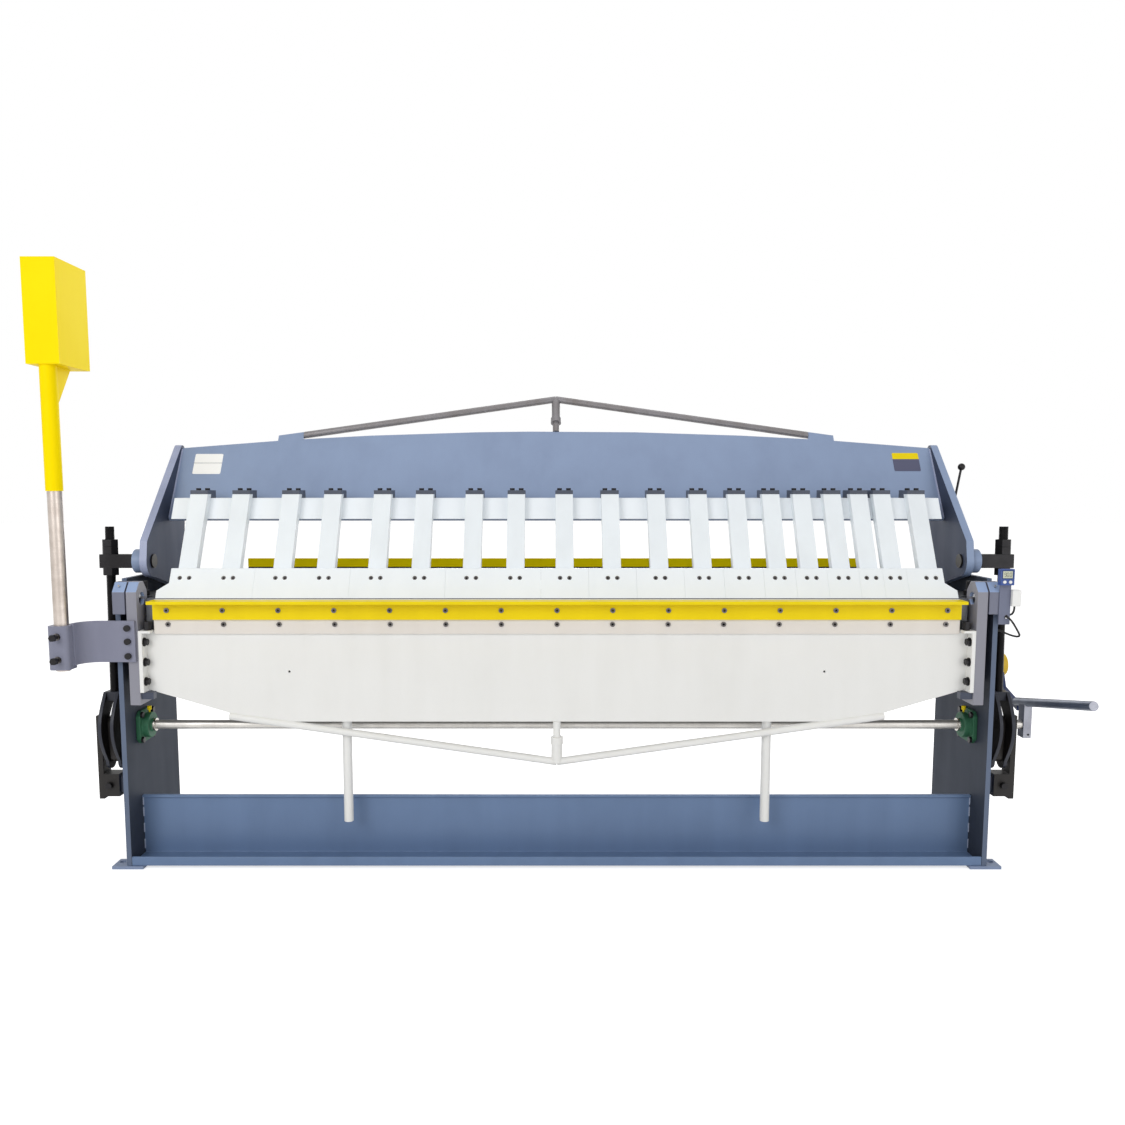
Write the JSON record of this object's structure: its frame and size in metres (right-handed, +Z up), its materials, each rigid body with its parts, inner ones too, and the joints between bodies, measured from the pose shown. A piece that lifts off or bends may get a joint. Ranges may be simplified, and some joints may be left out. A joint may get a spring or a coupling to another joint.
{
  "type": "box and pan brake",
  "caption": "Floor-standing box and pan brake with removable clamping fingers, lever-driven clamping beam and a counterweighted bending apron.",
  "frame": {"origin": "on the floor, midway between the four anchor holes", "axes": "+Z up, +X to the operator's right, -Y towards the operator"},
  "size_m": [3.138, 1.0798, 1.898],
  "materials": {
    "frame_paint": "satin dark blue-grey paint",
    "base_paint": "satin blue-grey paint",
    "beam_paint": "satin light blue-grey paint",
    "bed_steel": "dark machined steel",
    "block_steel": "light grey paint",
    "bright_steel": "polished steel",
    "ground_steel": "ground bare steel",
    "black_oxide": "black oxide steel",
    "linkage": "brown-black paint",
    "bearing_green": "green painted casting",
    "yellow_paint": "bright yellow paint",
    "weight_yellow": "warm yellow paint",
    "cream_paint": "cream-white paint",
    "blade_cream": "cream paint, warmer",
    "finger_white": "cool white paint",
    "readout_blue": "blue plastic",
    "readout_grey": "grey paint",
    "screen": "grey-green display",
    "white_plastic": "white plastic",
    "black_plastic": "black plastic"
  },
  "bodies": {
    "frame": {"left_side_plate": "frame_paint", "right_side_plate": "frame_paint", "base_channel": "base_paint", "floor_feet": "frame_paint", "bed_beam": "bed_steel", "hinge_blocks": "block_steel", "pivot_pins": "bright_steel", "grease_fittings": "yellow_paint", "flange_bearings": "bearing_green", "frame_bolts": "black_oxide", "outboard_brackets": "linkage", "readout_bracket": "readout_grey", "readout_housing": "readout_blue", "readout_screen": "screen", "sensor_box": "white_plastic", "readout_cable": "black_plastic", "gauge_rails": "ground_steel"},
    "back_gauge": {"back_gauge_bar": "yellow_paint", "gauge_carriage": "black_oxide"},
    "upper_beam": {"left_beam_arm": "beam_paint", "right_beam_arm": "beam_paint", "beam_plate": "beam_paint", "finger_beam": "finger_white", "fingers_12in": "finger_white", "fingers_6in_5in": "finger_white", "fingers_4in_3in": "finger_white", "finger_stems": "finger_white", "clamp_caps": "beam_paint", "finger_bolts": "black_oxide", "top_truss_rod": "ground_steel", "top_truss_strut": "ground_steel"},
    "catch_knob": {"catch_knob": "black_plastic"},
    "catch_lever": {"catch_lever": "black_oxide"},
    "left_rod": {"left_trunnion": "black_oxide", "left_clamp_rod": "black_oxide", "left_rod_nuts": "black_oxide", "left_c_links": "linkage"},
    "right_rod": {"right_trunnion": "black_oxide", "right_clamp_rod": "black_oxide", "right_rod_nuts": "black_oxide", "right_c_links": "linkage"},
    "clamp_shaft": {"cross_shaft": "bright_steel", "shaft_cranks": "linkage", "lever_hub": "ground_steel", "lever_handle": "frame_paint", "lever_weight": "weight_yellow"},
    "apron": {"apron_plate": "cream_paint", "blade_bar": "blade_cream", "flange_angle": "yellow_paint", "apron_screws": "black_oxide", "apron_arms": "block_steel", "apron_end_flanges": "cream_paint", "apron_truss_rod": "cream_paint", "apron_truss_strut": "cream_paint", "apron_handles": "cream_paint", "weight_bracket": "block_steel", "weight_pole": "ground_steel", "weight_box": "weight_yellow"},
    "power_button": {"power_button": "white_plastic"},
    "zero_button": {"zero_button": "white_plastic"}
  },
  "joints": [
    {"name": "beam_lift", "type": "hinge", "parent": "frame", "child": "upper_beam", "pos_m": [0, 0.1575, 0.89], "axis": [1, 0, 0], "range_deg": [-7.75, 0]},
    {"name": "lever_swing", "type": "hinge", "parent": "frame", "child": "clamp_shaft", "pos_m": [0, -0.0805, 0.446], "axis": [1, 0, 0], "range_deg": [-52, 0]},
    {"name": "left_rod_swing", "type": "hinge", "parent": "upper_beam", "child": "left_rod", "pos_m": [-1.4, -0.0625, 0.989], "axis": [1, 0, 0], "range_deg": [-0.7, 0]},
    {"name": "right_rod_swing", "type": "hinge", "parent": "upper_beam", "child": "right_rod", "pos_m": [1.4, -0.0625, 0.989], "axis": [1, 0, 0], "range_deg": [-0.7, 0]},
    {"name": "apron_hinge", "type": "hinge", "parent": "frame", "child": "apron", "pos_m": [0, -0.1925, 0.88], "axis": [-1, 0, 0], "range_deg": [0, 115]},
    {"name": "back_gauge_slide", "type": "slide", "parent": "frame", "child": "back_gauge", "axis": [0, 1, 0], "range_m": [-0.18, 0.13]},
    {"name": "catch_lever_turn", "type": "hinge", "parent": "upper_beam", "child": "catch_lever", "pos_m": [1.391, 0.1575, 1.18], "axis": [1, 0, 0], "range_deg": [0, 60]},
    {"name": "catch_knob_turn", "type": "hinge", "parent": "upper_beam", "child": "catch_knob", "pos_m": [1.37, 0.0575, 1.123], "axis": [1, 0, 0], "range_deg": [-180, 180]},
    {"name": "power_button_press", "type": "slide", "parent": "frame", "child": "power_button", "axis": [0, 1, 0], "range_m": [0, 0.002], "stiffness_N_per_m": 300},
    {"name": "zero_button_press", "type": "slide", "parent": "frame", "child": "zero_button", "axis": [0, 1, 0], "range_m": [0, 0.002], "stiffness_N_per_m": 300}
  ],
  "couplings": [
    {"joint": "lever_swing", "follows": "beam_lift", "ratio": 6.709},
    {"joint": "left_rod_swing", "follows": "beam_lift", "ratio": 0.089},
    {"joint": "right_rod_swing", "follows": "beam_lift", "ratio": 0.089}
  ]
}
